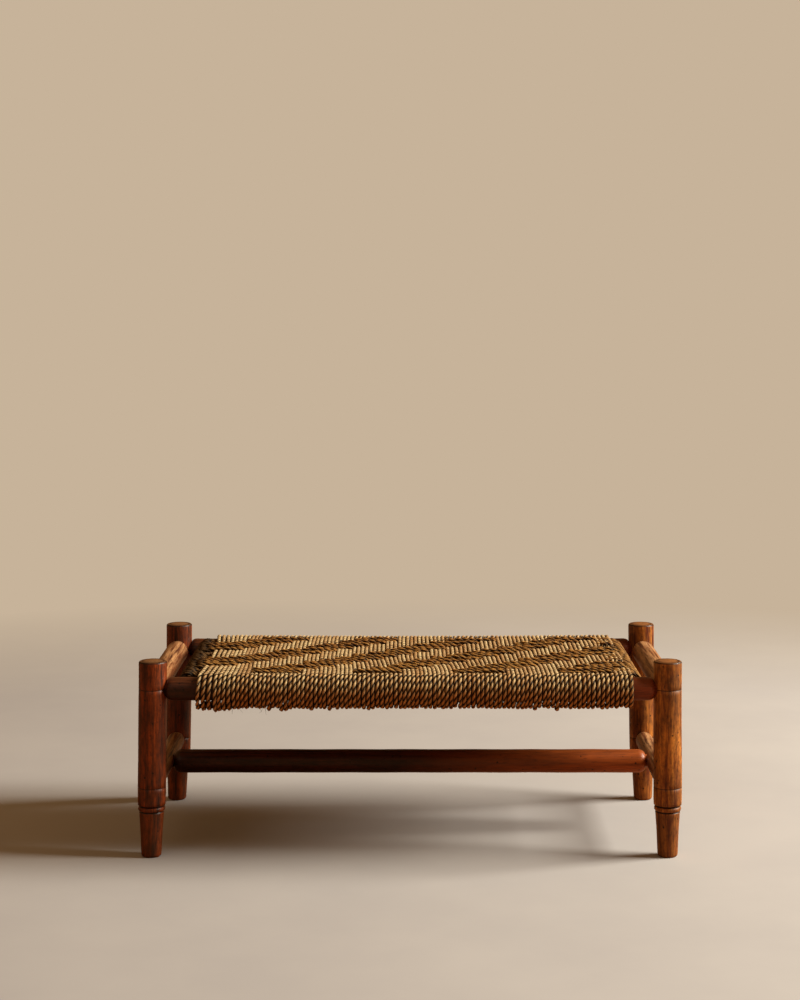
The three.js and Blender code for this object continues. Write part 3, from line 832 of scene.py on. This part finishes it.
def rope_material(name, dark, middle, pale, painted_shade, rail_end_shades=(0, 0)):
    """Two-ply grass rope: fibres along each ply, a tint for each turn, and an orange glow of painted light,
    as if bounced up from the floor, from the seat rails' middle down. It has painted shade between the plies
    and at its sides, against its neighbours. The end shades say how much painted shade lies over the left and
    right rope rails, more on the left, away from the key lamp."""
    material, tree, shader = new_material(name)
    ply_place = rope_value(tree, "ply_place", "Vector")
    place = object_place(tree)
    fibres = noise(tree, ply_place, 1500, 4, 0.65, (1, 1, 0.05))
    lengths = noise(tree, ply_place, 24, 3, 0.6, (0.3, 0.3, 1))
    tone = arithmetic(tree, "ADD", multiply(tree, rope_value(tree, "tint"), 0.45),
                      multiply(tree, lengths, 0.75))
    colour = mix_colour(tree, to_range(tree, tone, 0.25, 0.95), middle, pale)
    # Painted light: an orange glow, as of light bounced up from the floor, on the rope below the seat rails'
    # middle.
    floor_bounce_light = to_range(tree, coordinate(tree, place, 2), SEAT_RAIL_HEIGHT + 8 * MM,
                          SEAT_RAIL_HEIGHT - 8 * MM, 0, 0.6)
    colour = mix_colour(tree, floor_bounce_light, colour, linear(226, 132, 52))
    streaks = multiply(tree, to_range(tree, fibres, 0.38, 0.62), 0.65)
    colour = mix_colour(tree, streaks, colour, dark)
    # Painted shade between the plies and where neighbouring ropes touch.
    ply_shade = to_range(tree, rope_value(tree, "crown"), 0.24, 0.95, 0.98, 0)
    colour = mix_colour(tree, ply_shade, colour, painted_shade)
    side_shade = to_range(tree, rope_value(tree, "beside"), 0.55, 0.9, 0, 0.95)
    colour = mix_colour(tree, side_shade, colour, painted_shade)
    # Painted shade over the rope rails, stronger on the left.
    for side, rail_end_shade in zip((-1, 1), rail_end_shades):
        inner, outer = side * (ROPE_RAIL_X - 22 * MM), side * (ROPE_RAIL_X - 4 * MM)
        near_end = to_range(tree, coordinate(tree, place, 0), inner, outer, 0, rail_end_shade)
        colour = mix_colour(tree, near_end, colour, painted_shade)
    tree.links.new(colour, shader.inputs["Base Color"])
    shader.inputs["Roughness"].default_value = 0.78
    shader.inputs["Specular IOR Level"].default_value = 0.3
    add_bump(tree, shader, fibres, strength=0.8, distance=0.4 * MM)
    return material


# Stage.

BACKDROP = linear(199, 179, 154)


def mix_shaders(tree, factor, first, second, output):
    """Sends a mix of two shaders, by a factor, to the output node of the given name."""
    mix = add_node(tree, "ShaderNodeMixShader")
    for index, socket in enumerate((factor, first.outputs[0], second.outputs[0])):
        tree.links.new(socket, mix.inputs[index])
    tree.links.new(mix.outputs[0], tree.nodes[output].inputs["Surface"])


def make_floor():
    """A pale floor that fades into the backdrop's colour well away from the bench. The bench itself is lit
    back by a darker and warmer floor than the camera sees."""
    fade_start, fade_end, half = 1.3, 2.4, 30
    material, tree, shader = new_material("floor")
    place = object_place(tree)
    blotches = to_range(tree, noise(tree, place, 3, 4, 0.6), 0.35, 0.65)
    colour = mix_colour(tree, blotches, linear(184, 184, 186), linear(190, 190, 191))
    seen = add_node(tree, "ShaderNodeLightPath").outputs["Is Camera Ray"]
    colour = mix_colour(tree, seen, linear(150, 112, 80), colour)
    tree.links.new(colour, shader.inputs["Base Color"])
    shader.inputs["Roughness"].default_value = 0.85
    distance = add_node(tree, "ShaderNodeVectorMath", operation="LENGTH")
    tree.links.new(place, distance.inputs[0])
    far = to_range(tree, distance.outputs["Value"], fade_start, fade_end)
    glow = add_node(tree, "ShaderNodeEmission", inputs={"Color": BACKDROP, "Strength": 1.0})
    mix_shaders(tree, multiply(tree, far, seen), shader, glow, "Material Output")
    corners = [(-half, -half, 0), (half, -half, 0), (half, half, 0), (-half, half, 0)]
    mesh = bpy.data.meshes.new("floor")
    mesh.from_pydata(corners, [], [(0, 1, 2, 3)])
    mesh.materials.append(material)
    floor = bpy.data.objects.new("floor", mesh)
    bpy.context.scene.collection.objects.link(floor)


def make_world():
    """A dim warm light from all round, with the backdrop's colour behind the bench."""
    world = bpy.data.worlds.new("studio")
    bpy.context.scene.world = world
    world.use_nodes = True
    tree = world.node_tree
    light = tree.nodes["Background"]
    light.inputs["Color"].default_value = linear(255, 188, 116)
    light.inputs["Strength"].default_value = 0.22
    behind = add_node(tree, "ShaderNodeBackground", inputs={"Color": BACKDROP, "Strength": 1.0})
    path = add_node(tree, "ShaderNodeLightPath")
    seen = arithmetic(tree, "MAXIMUM", path.outputs["Is Camera Ray"], path.outputs["Is Transmission Ray"])
    mix_shaders(tree, seen, light, behind, "World Output")


def make_lamp(name, place, size, power, colour):
    """A square area lamp at a place, facing the seat."""
    data = bpy.data.lights.new(name, "AREA")
    data.shape = "SQUARE"
    data.size = size
    data.energy = power
    data.color = colour[:3]
    lamp = bpy.data.objects.new(name, data)
    lamp.location = place
    away = np.array(place) - np.array((0, 0, 0.2))
    flat = math.hypot(away[0], away[1])
    lamp.rotation_euler = (math.atan2(flat, away[2]), 0, math.atan2(away[0], -away[1]))
    bpy.context.scene.collection.objects.link(lamp)


def make_lamps():
    """Soft light from high on the right, and a faint one from the left and in front."""
    make_lamp("key_lamp", (4.6, 0.07, 3.0), size=2.5, power=560, colour=linear(255, 244, 226))
    make_lamp("fill_lamp", (-1.8, -3.0, 2.4), size=2.5, power=5, colour=linear(255, 246, 234))


# Stains, each as its dark, middle and bright tone and its worn colour.
# The two leg stains are shaded and lit copies of one stain: painted shade on the left legs, painted light on
# the right ones.
LEFT_LEG_SHADED_TONES = (linear(20, 12, 9), linear(58, 26, 15), linear(180, 82, 30), linear(130, 92, 58))
RIGHT_LEG_LIT_TONES = (linear(28, 13, 9), linear(116, 48, 19), linear(228, 146, 60), linear(146, 96, 56))
RAIL_TONES = (linear(18, 10, 8), linear(44, 21, 14), linear(84, 38, 21), linear(140, 76, 38))
WORN_TONES = (linear(34, 16, 10), linear(96, 44, 22), linear(156, 90, 48), linear(196, 146, 98))
PLAIN_TONES = (linear(120, 84, 52), linear(150, 108, 70), linear(172, 130, 88), linear(190, 150, 108))

# The turn that lays the grain along a piece: upright, along X or along Y.
UPRIGHT, ALONG_X, ALONG_Y = (0, 0, 0), (0, math.pi / 2, 0), (math.pi / 2, 0, 0)

make_camera()
grain_group = wood_grain_group()
# The left legs take the stain with painted shade, the right legs the one with painted light.
shaded_and_lit_leg_woods = [wood_material("left_leg_wood_painted_shade", grain_group, UPRIGHT, LEFT_LEG_SHADED_TONES, roughness=0.4, leg=True),
             wood_material("right_leg_wood_painted_light", grain_group, UPRIGHT, RIGHT_LEG_LIT_TONES, roughness=0.4, leg=True)]
# Both long pieces brighten towards +X with painted light.
long_wood = wood_material("long_rail_wood", grain_group, ALONG_X, RAIL_TONES, roughness=0.38, wear=0.4,
                          right_end_light=linear(140, 64, 34))
side_wood = wood_material("side_rail_wood", grain_group, ALONG_Y, WORN_TONES, roughness=0.42, wear=1.0)
stretcher_wood = wood_material("long_stretcher_wood", grain_group, ALONG_X, RAIL_TONES, roughness=0.34,
                               wear=0.3, right_end_light=linear(196, 98, 38))
plain_wood = wood_material("rope_rail_wood", grain_group, ALONG_Y, PLAIN_TONES, roughness=0.6, wear=0.3)
# Warp and weft are one rope. The warp's paler colours are partly wear and partly painted light, and the
# weft's darker golden ones partly wear and partly painted shade.
pale_rope_wear_and_light = rope_material("warp_rope_fibre", dark=linear(112, 66, 26), middle=linear(204, 152, 88),
                          pale=linear(255, 230, 172), painted_shade=linear(12, 5, 2))
golden_rope_wear_and_shade = rope_material("weft_rope_fibre", dark=linear(84, 46, 16), middle=linear(164, 104, 42),
                            pale=linear(230, 174, 90), painted_shade=linear(9, 4, 2), rail_end_shades=(0.8, 0.3))
make_legs(shaded_and_lit_leg_woods)
make_rails(long_wood, side_wood, plain_wood)
make_long_stretcher(stretcher_wood)
make_warp(pale_rope_wear_and_light)
make_loose_fibres(pale_rope_wear_and_light)
make_weft(golden_rope_wear_and_shade)
make_floor()
make_world()
make_lamps()

bpy.context.scene.view_settings.view_transform = "Standard"
